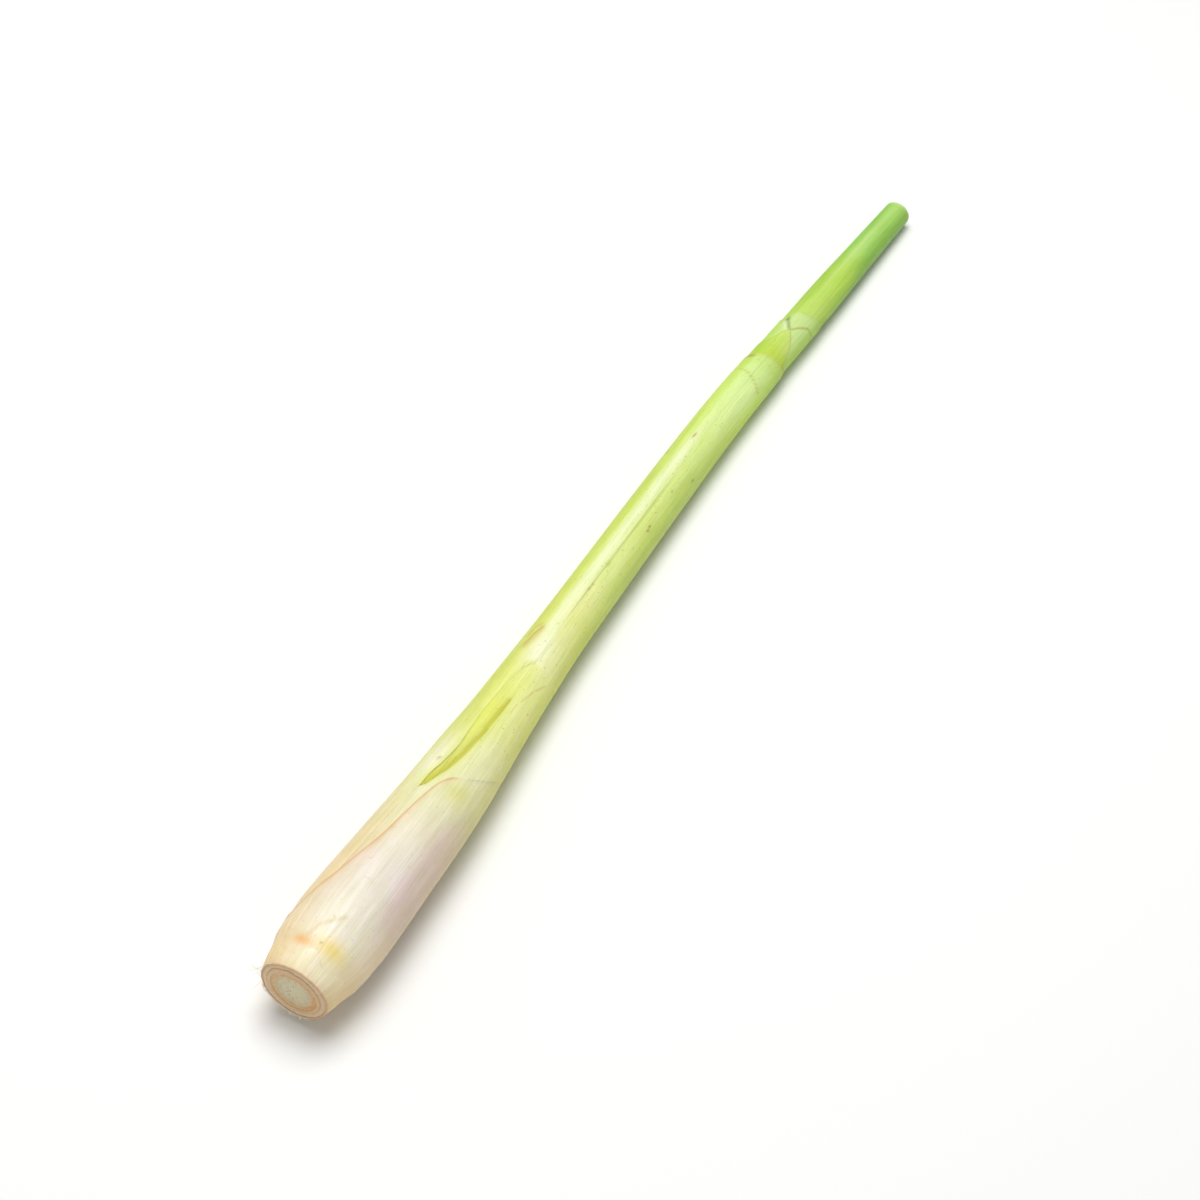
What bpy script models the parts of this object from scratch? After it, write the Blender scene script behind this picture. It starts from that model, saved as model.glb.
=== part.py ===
"""One trimmed lemongrass stalk, lying on its side as it rests after it is cut.

A stalk is a short solid stem with leaf sheaths rolled tightly round it. Each sheath grows from its own ledge on
the stem, and each one inside reaches further along the stalk. The four outermost sheaths are separate shells
here, a fifth and older one is torn back to a stub round the base, and the young leaves inside them are one tight
roll that runs on to the trimmed top.

The stalk lies along +Y, from the cut base to the trimmed top. The origin is under the middle of its box.
"""

import math

import bmesh
import bpy
import numpy as np

MM = 0.001

# Driving dimensions, in millimetres. Distances along the stalk count from the cut base.
LENGTH = 285.0
GAP = 0.35  # clearance between neighbouring layers
AROUND = 24  # facets round each layer

# Outside radius of the whole stalk: (distance, radius). The bulb is fattest just above the cut.
OUTLINE = [
    (0, 8.1), (5, 9.3), (11, 10.3), (19, 10.8), (30, 10.4), (48, 9.6), (68, 8.4), (88, 7.2),
    (118, 6.05), (160, 5.7), (196, 5.5), (216, 4.8), (245, 4.15), (285, 3.3),
]  # fmt: skip

# How much each layer takes off the radius, clearance included: (distance, depth). A layer is thickest where it
# grows from the stem, and beyond its free edge the next one swells out to the outline.
STUB_DEPTH = [(0, 0.8), (5, 0.75), (16, 0)]
OUTER_DEPTH = [(0, 1.5), (20, 1.4), (50, 0.95), (72, 0.75), (92, 0)]
SECOND_DEPTH = [(0, 1.1), (20, 1.5), (60, 1.2), (118, 0.9), (190, 0.75), (217, 0.7), (232, 0)]
THIRD_DEPTH = [(0, 1.0), (20, 1.3), (60, 1.0), (118, 0.8), (200, 0.7), (227, 0.65), (240, 0)]
FOURTH_DEPTH = [(0, 1.0), (20, 1.2), (60, 1.0), (118, 0.8), (200, 0.7), (235, 0.65), (250, 0)]

# The solid stem inside: the ledges where the third and fourth sheaths and the leaf roll sit on it, and its
# taper to the growing point: (distance, radius).
THIRD_LEDGE = 6.0
FOURTH_LEDGE = 10.0
ROLL_LEDGE = 14.0
STEM_TAPER = [(ROLL_LEDGE, 3.6), (24, 3.2), (34, 2.5), (46, 1.5), (54, 0.9)]
STEM_TIP = 55.0

# The line of the stalk's middle: (distance, sideways) and (distance, height above the surface it lies on).
BOW = [(0, 0), (50, 0), (118, -2.3), (190, -3.6), (245, -1.7), (285, 0)]
HEIGHT = [(0, 10.7), (19, 10.6), (60, 9.3), (118, 7.0), (160, 6.0), (196, 5.4), (245, 4.25), (285, 3.22)]

# Free upper edges: (angle round the stalk in degrees, distance). 0 is +X and 90 is up.
STUB_TOP = [(20, 5.5), (55, 3.5), (80, 6.0), (105, 3.0), (150, 5.0), (200, 2.5), (250, 4.5), (310, 3.0)]
OUTER_TOP = [
    (7, 68), (37, 64), (58, 61), (76, 59), (87, 56), (96, 46), (102, 37), (115, 27.5), (130, 18),
    (147, 12), (185, 20), (220, 35), (255, 50), (290, 63), (325, 70),
]  # fmt: skip
SECOND_TOP = [(66, 214), (156, 213), (246, 215), (336, 216)]
THIRD_TOP = [(15, 218), (60, 223), (82, 226), (104, 223), (124, 220), (210, 219), (300, 221)]
FOURTH_TOP = [(66, 234), (156, 231), (246, 235), (336, 236)]

# The second sheath's lower margin, and how wide it parts from the upper one: (distance, angle). They part in a
# long window and meet in one seam above it.
LOWER_MARGIN = [
    (0, 122), (45, 113), (57, 100), (68, 87), (78, 76), (97, 66), (111, 66), (122, 79), (160, 72), (216, 76),
]  # fmt: skip
SEAM_ANGLE = 4.0
WINDOW_ANGLE = [(0, 0), (58, 0), (70, 16), (84, 27), (94, 24), (98, 0), (216, 0)]

# A sheath is thickest on its back, at this angle, and thins by this share towards its margins on the far side.
OUTER_BACK = 327.0
SECOND_BACK = 260.0
THINNING = 0.45

# Distances of the rings that shape each layer: close together on the bulb, where the outline turns fastest.
BULB_RINGS = [0, 2.5, 5, 8, 11, 15, 19, 24, 30, 38, 48, 58, 68, 78, 88, 98, 108, 118, 130, 144]
UPPER_RINGS = [160, 178, 196, 207, 216, 226, 235, 245, 256, 268, 278, 283]

CREAM = (0.78, 0.68, 0.52, 1.0)
TORN_TAN = (0.62, 0.42, 0.22, 1.0)
PALE_GREEN = (0.62, 0.70, 0.26, 1.0)
YELLOW_GREEN = (0.50, 0.66, 0.12, 1.0)
COLLAR_GREEN = (0.62, 0.78, 0.40, 1.0)
LEAF_GREEN = (0.22, 0.48, 0.08, 1.0)
STEM_WHITE = (0.60, 0.60, 0.44, 1.0)


def through(points, at):
    """The smooth curve through (place, value) points, level beyond them, read at one or many places."""
    places, values = np.array(points, float).T
    runs = np.diff(places)
    slopes = np.diff(values) / runs
    # An inner point takes the harmonic mean of the slopes beside it, or none where they differ in sign, so the
    # curve never swings past a point.
    product = slopes[:-1] * slopes[1:]
    same_way = product > 0
    tangents = np.concatenate([slopes[:1], np.zeros(len(product)), slopes[-1:]])
    tangents[1:-1][same_way] = 2 * product[same_way] / (slopes[:-1] + slopes[1:])[same_way]
    at = np.clip(at, places[0], places[-1])
    left = np.clip(np.searchsorted(places, at, side="right") - 1, 0, len(runs) - 1)
    share = (at - places[left]) / runs[left]
    back = 1 - share
    ends = values[left] * (1 + 2 * share) * back**2 + values[left + 1] * (1 + 2 * back) * share**2
    return ends + runs[left] * share * back * (tangents[left] * back - tangents[left + 1] * share)


def round_the_stalk(points, angles):
    """The smooth closed curve through (angle, value) points, read at angles in degrees."""
    before = [(angle - 360, value) for angle, value in points]
    after = [(angle + 360, value) for angle, value in points]
    return through(before + points + after, np.mod(angles, 360))


def thinned(back, angle):
    """Share of a sheath's full thickness: all of it on its back, least at its margins on the far side."""
    return 1 - THINNING * (1 - np.cos(np.radians(angle - back))) / 2


def stub_skin(along, angle):
    return through(OUTLINE, along) + 0 * angle


def outer_skin(along, angle):
    """Outside radius of the outer sheath. The torn stub lies on it at the base."""
    return stub_skin(along, angle) - through(STUB_DEPTH, along)


def second_skin(along, angle):
    return outer_skin(along, angle) - through(OUTER_DEPTH, along) * thinned(OUTER_BACK, angle)


def third_skin(along, angle):
    return second_skin(along, angle) - through(SECOND_DEPTH, along) * thinned(SECOND_BACK, angle)


def fourth_skin(along, angle):
    return third_skin(along, angle) - through(THIRD_DEPTH, along)


def roll_skin(along, angle):
    return fourth_skin(along, angle) - through(FOURTH_DEPTH, along)


def place(along, angle, radius):
    """Points in metres at distances along the stalk, angles round it in degrees and radii in millimetres."""
    turn = np.radians(angle)
    x = through(BOW, along) + radius * np.cos(turn)
    z = through(HEIGHT, along) + radius * np.sin(turn)
    # What would lie below the surface is pressed flat on it.
    return np.stack([x, along + 0 * x, np.maximum(z, 0)], axis=-1) * MM


def own_material(name, colour, roughness):
    material = bpy.data.materials.new(name)
    material.use_nodes = True
    shader = material.node_tree.nodes["Principled BSDF"]
    shader.inputs["Base Color"].default_value = colour
    shader.inputs["Roughness"].default_value = roughness
    shader.inputs["Metallic"].default_value = 0.0
    return material


def object_from_faces(name, points, faces, colour, roughness):
    shape = bmesh.new()
    corners = [shape.verts.new(point) for point in points.reshape(-1, 3)]
    for face in faces:
        shape.faces.new([corners[i] for i in face])
    bmesh.ops.recalc_face_normals(shape, faces=shape.faces)
    mesh = bpy.data.meshes.new(name)
    shape.to_mesh(mesh)
    shape.free()
    mesh.shade_smooth()
    mesh.set_sharp_from_angle(angle=math.radians(40))
    mesh.materials.append(own_material(name, colour, roughness))
    made = bpy.data.objects.new(name, mesh)
    bpy.context.collection.objects.link(made)
    return made


def all_round():
    """Angles of the facets' corners. Two of them straddle the underside, so that a flat facet lies there."""
    return (np.arange(AROUND) + 0.5) * 360 / AROUND


def grid_faces(rows, columns, first=0, closed_round=True):
    """Four-sided faces of a grid whose points are numbered row by row, from first."""
    faces = []
    for row in range(rows - 1):
        start = first + row * columns
        for column in range(columns if closed_round else columns - 1):
            following = (column + 1) % columns
            faces.append((start + column, start + following, start + columns + following, start + columns + column))
    return faces


def solid_of_rings(name, profile, colour, roughness):
    """A closed solid from (distance, radius) rings, in order from the axis at one end to the axis at the other.

    A ring's radius is one number, or a skin, which gives a radius for each angle.
    """
    angles = all_round()
    along = np.array([at for at, _ in profile], float)
    radii = [size(at, angles) if callable(size) else np.full(AROUND, size) for at, size in profile]
    rings = place(along[:, None], angles[None, :], np.array(radii)).reshape(-1, 3)
    poles = place(along[[0, -1]], 0.0, 0.0)
    start_pole, end_pole = len(rings), len(rings) + 1
    last = len(rings) - AROUND
    faces = grid_faces(len(profile), AROUND)
    for column in range(AROUND):
        following = (column + 1) % AROUND
        faces.append((start_pole, following, column))
        faces.append((end_pole, last + column, last + following))
    return object_from_faces(name, np.concatenate([rings, poles]), faces, colour, roughness)


def shell(name, along, angles, skins, closed_round, colour, roughness):
    """A sheath between two skins, from a grid of distances and angles: rows go up the stalk, columns round it."""
    outside, inside = (place(along, angles, skin(along, angles)) for skin in skins)
    rows, columns = along.shape
    inner = rows * columns
    faces = grid_faces(rows, columns, 0, closed_round) + grid_faces(rows, columns, inner, closed_round)
    for row in (0, rows - 1):
        start = row * columns
        for column in range(columns if closed_round else columns - 1):
            here, following = start + column, start + (column + 1) % columns
            faces.append((here, following, inner + following, inner + here))
    for column in () if closed_round else (0, columns - 1):
        for row in range(rows - 1):
            here, above = row * columns + column, (row + 1) * columns + column
            faces.append((here, above, inner + above, inner + here))
    return object_from_faces(name, np.stack([outside, inside]), faces, colour, roughness)


def rings_between(base, top, rings):
    """Distances of a shell's rings, row by row. The rings close to its free edge follow that edge's shape."""
    lowest = np.min(top)
    below = [ring for ring in rings if base + 1 < ring < lowest - 3]
    return np.stack([np.full(len(top), base)] + [np.full(len(top), ring) for ring in below] + [top])


def short_rings(base, top, rows):
    """Distances of a short shell's rings, spread evenly from its base to a free edge of any shape."""
    share = np.linspace(0, 1, rows)[:, None]
    return base + share * (top - base)[None, :]


def inner_wall(next_skin):
    """The inside of a sheath, which clears the skin of the layer that it wraps."""
    return lambda along, angle: next_skin(along, angle) + GAP


def make_sheath_stub():
    angles = all_round()
    along = short_rings(0.0, round_the_stalk(STUB_TOP, angles), 3)
    shell("sheath_stub", along, 0 * along + angles, (stub_skin, inner_wall(outer_skin)), True, TORN_TAN, 0.8)


def make_outer_sheath():
    angles = all_round()
    along = short_rings(0.0, round_the_stalk(OUTER_TOP, angles), 15)
    shell("outer_sheath", along, 0 * along + angles, (outer_skin, inner_wall(second_skin)), True, CREAM, 0.45)


def make_second_sheath():
    """Rolled once round the stalk, from its upper margin the long way round to its lower one."""
    across = np.linspace(0, 1, AROUND + 1)
    rings = np.array([ring for ring in BULB_RINGS + UPPER_RINGS if ring < 209], float)
    lower = through(LOWER_MARGIN, rings)
    upper = lower + SEAM_ANGLE + through(WINDOW_ANGLE, rings)
    angles = upper[:, None] + across * (lower + 360 - upper)[:, None]
    top = round_the_stalk(SECOND_TOP, angles[-1])
    along = np.concatenate([rings[:, None] + 0 * angles, top[None, :]])
    angles = np.concatenate([angles, angles[-1:]])
    shell("second_sheath", along, angles, (second_skin, inner_wall(third_skin)), False, PALE_GREEN, 0.4)


def make_third_sheath():
    angles = all_round()
    along = rings_between(THIRD_LEDGE + GAP, round_the_stalk(THIRD_TOP, angles), BULB_RINGS + UPPER_RINGS)
    shell("third_sheath", along, 0 * along + angles, (third_skin, inner_wall(fourth_skin)), True, YELLOW_GREEN, 0.4)


def make_fourth_sheath():
    angles = all_round()
    along = rings_between(FOURTH_LEDGE + GAP, round_the_stalk(FOURTH_TOP, angles), BULB_RINGS + UPPER_RINGS)
    shell("fourth_sheath", along, 0 * along + angles, (fourth_skin, inner_wall(roll_skin)), True, COLLAR_GREEN, 0.4)


def make_inner_leaf_roll():
    """Solid but for the hollow that fits over the stem's tapering end."""
    base = ROLL_LEDGE + GAP
    hollow = [(at, radius + GAP) for at, radius in reversed(STEM_TAPER[1:])]
    hollow.insert(0, (STEM_TIP + GAP, STEM_TAPER[-1][1] * 0.8))
    hollow.append((base, STEM_TAPER[0][1] + GAP))
    outside = [(ring, roll_skin) for ring in [base] + BULB_RINGS + UPPER_RINGS if ring >= base]
    trimmed_end = [(LENGTH - 0.4, OUTLINE[-1][1] * 0.93), (LENGTH, OUTLINE[-1][1] * 0.8)]
    solid_of_rings("inner_leaf_roll", hollow + outside + trimmed_end, LEAF_GREEN, 0.4)


def make_basal_stem():
    """The solid stem: each sheath wraps it from its own ledge, so it narrows step by step to its growing point."""
    profile = [(at, third_skin) for at in (0, 2.5, THIRD_LEDGE)]
    profile += [(at, fourth_skin) for at in (THIRD_LEDGE, 8, FOURTH_LEDGE)]
    profile += [(at, roll_skin) for at in (FOURTH_LEDGE, 12, ROLL_LEDGE)]
    profile += STEM_TAPER + [(STEM_TIP, STEM_TAPER[-1][1] * 0.4)]
    solid_of_rings("basal_stem", profile, STEM_WHITE, 0.6)


def centre_over_origin(objects):
    """Moves the meshes together, so that the origin is under the middle of the stalk's box."""
    corners = np.array([vertex.co for made in objects for vertex in made.data.vertices])
    low, high = corners.min(axis=0), corners.max(axis=0)
    shift = -(low + high) / 2
    shift[2] = -low[2]
    for made in objects:
        for vertex in made.data.vertices:
            vertex.co += type(vertex.co)(shift)


def clear_scene():
    for existing in list(bpy.data.objects):
        bpy.data.objects.remove(existing)


clear_scene()
make_basal_stem()
make_inner_leaf_roll()
make_fourth_sheath()
make_third_sheath()
make_second_sheath()
make_outer_sheath()
make_sheath_stub()
centre_over_origin([made for made in bpy.data.objects if made.type == "MESH"])
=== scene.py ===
"""Looks for a trimmed lemongrass stalk that lies on its side.

Every piece is a surface of two parameters: a distance along the stalk from the cut base, in millimetres, and
an angle round it, in degrees, with 0 towards +X and 90 straight up. The pieces are worked out from the middle
outwards, each one lying on the one inside it, and only the last step turns the numbers into places in metres.
"""

import bpy
import numpy as np
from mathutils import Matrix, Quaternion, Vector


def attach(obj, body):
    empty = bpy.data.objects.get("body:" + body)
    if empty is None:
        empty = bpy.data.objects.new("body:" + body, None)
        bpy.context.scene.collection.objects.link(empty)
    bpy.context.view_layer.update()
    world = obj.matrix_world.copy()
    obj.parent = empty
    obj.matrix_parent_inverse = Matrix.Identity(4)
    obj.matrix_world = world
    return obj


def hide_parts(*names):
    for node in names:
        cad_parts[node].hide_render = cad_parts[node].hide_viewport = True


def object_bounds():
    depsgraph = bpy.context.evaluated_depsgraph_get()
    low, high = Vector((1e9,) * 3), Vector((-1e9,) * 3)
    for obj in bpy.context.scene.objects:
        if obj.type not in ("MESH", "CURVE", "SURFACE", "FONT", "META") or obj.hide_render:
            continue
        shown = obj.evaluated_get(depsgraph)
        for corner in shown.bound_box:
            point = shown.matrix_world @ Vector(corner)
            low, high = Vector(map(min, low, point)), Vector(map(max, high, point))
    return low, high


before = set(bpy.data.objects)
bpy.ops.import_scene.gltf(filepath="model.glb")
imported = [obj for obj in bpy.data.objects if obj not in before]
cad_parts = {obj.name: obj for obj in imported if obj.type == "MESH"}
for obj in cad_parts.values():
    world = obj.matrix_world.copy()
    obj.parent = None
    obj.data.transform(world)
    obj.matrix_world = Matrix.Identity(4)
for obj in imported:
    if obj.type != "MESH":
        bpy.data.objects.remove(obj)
low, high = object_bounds()

# --- Basal stem ---------------------------------------------------------------------------------------------
# The short solid stem that all the leaf sheaths grow from. A knife cut it across, so its end shows a wet,
# grey-green core inside a tan ring of tougher tissue. It narrows to its growing point inside the leaves.

LENGTH = 285.0
MM = (high.y - low.y) / LENGTH
MIDDLE = (low.x + high.x) / 2
PRESSED = 0.08  # how softly the underside is pressed flat on the surface it lies on

BOW = [(0, 0), (50, 0), (118, -2.3), (190, -3.6), (245, -1.7), (285, 0)]
HEIGHT = [(0, 10.7), (19, 10.6), (60, 9.3), (118, 7.0), (160, 6.0), (196, 5.4), (245, 4.25), (285, 3.22)]

# Outside radius of the whole stalk, for turning angles into millimetres.
OUTLINE = [
    (0, 8.1), (5, 9.3), (11, 10.3), (19, 10.8), (30, 10.4), (48, 9.6), (68, 8.4), (88, 7.2), (118, 6.05),
    (160, 5.7), (196, 5.5), (216, 4.8), (245, 4.15), (285, 3.3),
]  # fmt: skip

# Radius of the core that the sheaths wrap: the stem as far as the roll's ledge, and the leaf roll beyond it.
CORE = [
    (0, 5.4), (5, 6.75), (8, 6.95), (11, 6.5), (15, 6.1), (19, 6.3), (48, 6.45), (68, 6.2), (88, 5.4),
    (118, 4.52), (160, 4.4), (200, 4.22), (228, 4.22), (240, 4.22), (265, 3.72), (285, 3.3),
]  # fmt: skip
ROLL_LEDGE = 14.0
STEM_SIDE = [0.2, 0.5, 1, 2, 3, 4.5, 6, 8, 10, 12, ROLL_LEDGE]
STEM_TAPER = [(ROLL_LEDGE, 3.6), (24, 3.2), (34, 2.5), (46, 1.5), (54, 0.9), (55, 0.4)]

GAP = 0.03  # between neighbouring layers, which lie wet against each other
TOUCHING = 0.2  # share of the gap that is left where they touch
GROWN_TOGETHER = (3, 9)  # the sheaths part from the stem over this stretch

# Uneven ridges are (height, counts round the stalk, how far they wander).
CORE_HOLLOWS = (0.012, (2, 3, 5), 2.5)  # as a share of the radius
SAW_MARKS = (0.05, (2, 5, 7, 11), 2.0)
SAW_REACH = 9.0  # millimetres of wandering between the middle of the cut and its rim
RING_EDGES = (0.03, (2, 3, 7, 12), 0)  # as a share of the radius

FACE_RINGS = 70
STEM_COLUMNS = 192
FACE_SHARES = (0.01, 0.995)  # the first and last ring of the cut, as shares of the stem's radius
FACE_RIM = -0.04
FACE_DISH = 0.2
CORE_SHARE = 0.82  # of the stem's radius, inside the tan ring
CORE_RIDGE = (0.08, 0.05)  # height, and width as a share of the radius
FACE_TINTS = [
    (0, (220, 212, 174)), (0.5, (218, 206, 168)), (0.78, (212, 194, 152)), (0.84, (222, 176, 114)),
    (0.93, (222, 178, 122)), (1.0, (226, 188, 142)),
]  # fmt: skip

# The tan ring is stained deeper on one side: where the ring starts, the angle, and the width in millimetres.
STAIN = (228, 160, 84)
STAIN_SHARE = 0.9
RING_START = (0.79, 0.86)
STAIN_ANGLE = 330
STAIN_WIDTH = 3.6

# Beads of sap on the cut: share of the radius, angle round it, and size as a share of the radius.
SAP_BEADS = [
    (0.22, 215, 0.045), (0.4, 222, 0.06), (0.42, 238, 0.035), (0.5, 262, 0.05), (0.3, 95, 0.03),
    (0.6, 185, 0.03),
]  # fmt: skip
SAP_HEIGHT = 0.22
# Painted glint: the beads of sap, real bumps on the cut, are tinted near white where they catch the light.
SAP_GLINT = (246, 244, 234)
SAP_GLINT_SHARE = 0.55

DAYLIGHT = 1.08  # brightness of the light that falls on upward-facing tissue


def through(points, at):
    """The smooth curve through (place, value) points, level beyond them, read at one or many places.

    An inner point's slope is the harmonic mean of the slopes beside it, or none where they differ in sign.
    """
    places, values = np.array(points, float).T
    runs = np.diff(places)
    slopes = np.diff(values) / runs
    product = slopes[:-1] * slopes[1:]
    same_way = product > 0
    tangents = np.concatenate([slopes[:1], np.zeros(len(product)), slopes[-1:]])
    tangents[1:-1][same_way] = 2 * product[same_way] / (slopes[:-1] + slopes[1:])[same_way]
    at = np.clip(at, places[0], places[-1])
    left = np.clip(np.searchsorted(places, at, side="right") - 1, 0, len(runs) - 1)
    share = (at - places[left]) / runs[left]
    back = 1 - share
    ends = values[left] * (1 + 2 * share) * back**2 + values[left + 1] * (1 + 2 * back) * share**2
    return ends + runs[left] * share * back * (tangents[left] * back - tangents[left + 1] * share)


def eased(value, start, end):
    """0 before start and 1 after end, with a smooth step between them: 3 s squared less 2 s cubed."""
    share = np.clip((value - start) / (end - start), 0, 1)
    return share**2 * (3 - 2 * share)


def waves(along, angle, height, counts, drift):
    """Ridges round the stalk, up to a height: a mean of cosines of whole counts round it, each of which
    starts at its own angle and wanders a little as it runs along."""
    turn = np.radians(angle)
    ridges = [np.cos(count * turn + 1.7 * count + drift * np.sin(along / (31 + 2.3 * count) + count))
              for count in counts]
    return height * sum(ridges) / len(counts)


def free(along):
    """0 at the cut, where the sheaths are still one with the stem, and 1 where they are clear of it."""
    return eased(along, *GROWN_TOGETHER)


def gap(along, clear=1.0):
    """Millimetres between neighbouring layers: only the touching share at the cut, and where clear is 0."""
    return GAP * (TOUCHING + (1 - TOUCHING) * clear * free(along))


def core_skin(along, angle):
    """Radius of the core: its profile, and broad hollows that show through all the sheaths."""
    return through(CORE, along) * (1 + waves(along, angle, *CORE_HOLLOWS))


def place(along, angle, radius):
    """Points in metres for distances along the stalk, angles round it and radii, about its bowed middle line.

    Heights under the surface are pressed flat on it by a smooth maximum, so the layers keep their order.
    """
    turn = np.radians(angle)
    x = through(BOW, along) + radius * np.cos(turn)
    z = PRESSED * np.logaddexp(0, (through(HEIGHT, along) + radius * np.sin(turn)) / PRESSED)
    return np.stack([MIDDLE + x * MM, low.y + along * MM + 0 * x, low.z + z * MM], axis=-1)


def tint(red, green, blue):
    """Linear colour of tissue that shows (red, green, blue) of 255 where daylight falls straight on it."""
    shown = np.array([red, green, blue]) / 255
    return ((shown + 0.055) / 1.055) ** 2.4 / DAYLIGHT


def mixed(stops, at):
    """Colours read from (place, colour) stops, mixed evenly between them."""
    places = [place_of for place_of, _ in stops]
    colours = np.array([colour for _, colour in stops])
    return np.stack([np.interp(at, places, colours[:, channel]) for channel in range(3)], axis=-1)


def banded(stops, at):
    """Tissue colours read from (place, (red, green, blue)) stops, mixed evenly between them."""
    return mixed([(place_of, tint(*shade)) for place_of, shade in stops], at)


def dyed(colour, shade, share):
    """The colour moved towards a shade, (red, green, blue) of 255, by a share from 0 to 1 at each point."""
    return colour + (tint(*shade) - colour) * np.clip(share, 0, 1)[..., None]


def arc(along, angle, middle):
    """Millimetres round the stalk's outside from the angle called middle, the short way round."""
    turn = np.mod(angle - middle + 180, 360) - 180
    return np.radians(turn) * through(OUTLINE, along)


def spot(along, angle, at, middle, length, width):
    """A soft oval mark: e to the minus the square of the distance from its middle, in lengths and widths."""
    return np.exp(-(((along - at) / length) ** 2) - (arc(along, angle, middle) / width) ** 2)


def grid(rows, columns, rows_close, columns_close):
    """Corner numbers of the four-sided faces of a grid, which may close on itself either way."""
    row, column = np.meshgrid(np.arange(rows - (not rows_close)), np.arange(columns - (not columns_close)))
    row, column = row.ravel(), column.ravel()
    row_after, column_after = (row + 1) % rows, (column + 1) % columns
    corners = [(row, column), (row, column_after), (row_after, column_after), (row_after, column)]
    return np.stack([a * columns + b for a, b in corners], axis=-1)


def fans(rows, columns):
    """Triangles that close a grid's first and last ring on two more points, which follow the grid's own."""
    here = np.arange(columns)
    after = (here + 1) % columns
    last = (rows - 1) * columns
    first_pole = np.full(columns, rows * columns)
    return np.concatenate([
        np.stack([first_pole, after, here], axis=-1),
        np.stack([first_pole + 1, last + here, last + after], axis=-1),
    ])


def smooth_mesh(name, points, faces, tissue, grain, finish):
    """A smooth mesh from points in metres and arrays of faces, whose points carry colour and grain.

    The faces are turned outwards if the volume they enclose, the sum of a . (b x c), is negative.
    """
    triangles = np.concatenate([face_set[:, [0, corner, corner + 1]]
                                for face_set in faces for corner in range(1, face_set.shape[1] - 1)])
    first, second, third = (points[triangles[:, corner]] for corner in range(3))
    if np.einsum("ij,ij->", first, np.cross(second, third)) < 0:
        faces = [face_set[:, ::-1] for face_set in faces]
    mesh = bpy.data.meshes.new(name)
    mesh.from_pydata(points, [], [face for face_set in faces for face in face_set.tolist()])
    mesh.shade_smooth()
    mesh.attributes.new("tissue", "FLOAT_COLOR", "POINT").data.foreach_set("color", tissue.ravel())
    mesh.attributes.new("grain", "FLOAT_VECTOR", "POINT").data.foreach_set("vector", grain.ravel())
    mesh.materials.append(finish)
    made = bpy.data.objects.new(name, mesh)
    bpy.context.scene.collection.objects.link(made)
    return made


def piece(name, spread, radius, faces, tissue, finish):
    """A mesh from arrays of distance, angle and radius. Its grain is (cosine, sine) of the angle, and the
    distance, so that a pattern can follow the veins."""
    along, angle = (np.asarray(part, float).ravel() for part in spread)
    points = place(along, angle, np.asarray(radius, float).ravel())
    grain = np.stack([np.cos(np.radians(angle)), np.sin(np.radians(angle)), along], axis=-1)
    return smooth_mesh(name, points, faces, tissue, grain, finish)


def with_wear(colour, wear):
    """The colour with the share of fine specks as its fourth channel."""
    return np.concatenate([colour, np.broadcast_to(wear, colour.shape[:-1])[..., None]], axis=-1)


def solid_piece(name, spread, radius, poles, colour, wear, finish):
    """A piece of whole rings, whose first and last close on two points of the middle line, called its poles."""
    shades = with_wear(np.concatenate([colour.reshape(-1, 3), colour[[0, -1], 0]]), wear)
    faces = [grid(*radius.shape, False, True), fans(*radius.shape)]
    spread = [np.append(spread[0], poles), np.append(spread[1], [0, 0])]
    return piece(name, spread, np.append(radius, [0, 0]), faces, shades, finish)


def add(tree, kind, sockets, **settings):
    """A node with its settings, whose inputs are set to values or joined to other nodes' outputs."""
    made = tree.nodes.new("ShaderNode" + kind)
    for name, value in settings.items():
        setattr(made, name, value)
    for socket, value in sockets.items():
        if isinstance(value, bpy.types.NodeSocket):
            tree.links.new(value, made.inputs[socket])
        else:
            made.inputs[socket].default_value = value
    return made


def multiplied(tree, shade, pattern, dark, light):
    """A colour output: the shade times a tone between dark and light, as the pattern goes from 0 to 1."""
    tone = add(tree, "Mix", {0: pattern, 6: dark, 7: light}, data_type="RGBA")
    sockets = {0: 1.0, 6: shade, 7: tone.outputs[2]}
    return add(tree, "Mix", sockets, data_type="RGBA", blend_type="MULTIPLY").outputs[2]


def new_finish(name, flesh, weight, radii):
    """A material, its nodes and its shader. Light wanders under its skin by flesh, in mm, times radii."""
    material = bpy.data.materials.new(name)
    material.use_nodes = True
    shader = material.node_tree.nodes["Principled BSDF"]
    shader.inputs["Subsurface Weight"].default_value = weight
    shader.inputs["Subsurface Radius"].default_value = radii
    shader.inputs["Subsurface Scale"].default_value = flesh * MM
    return material, material.node_tree, shader


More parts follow.
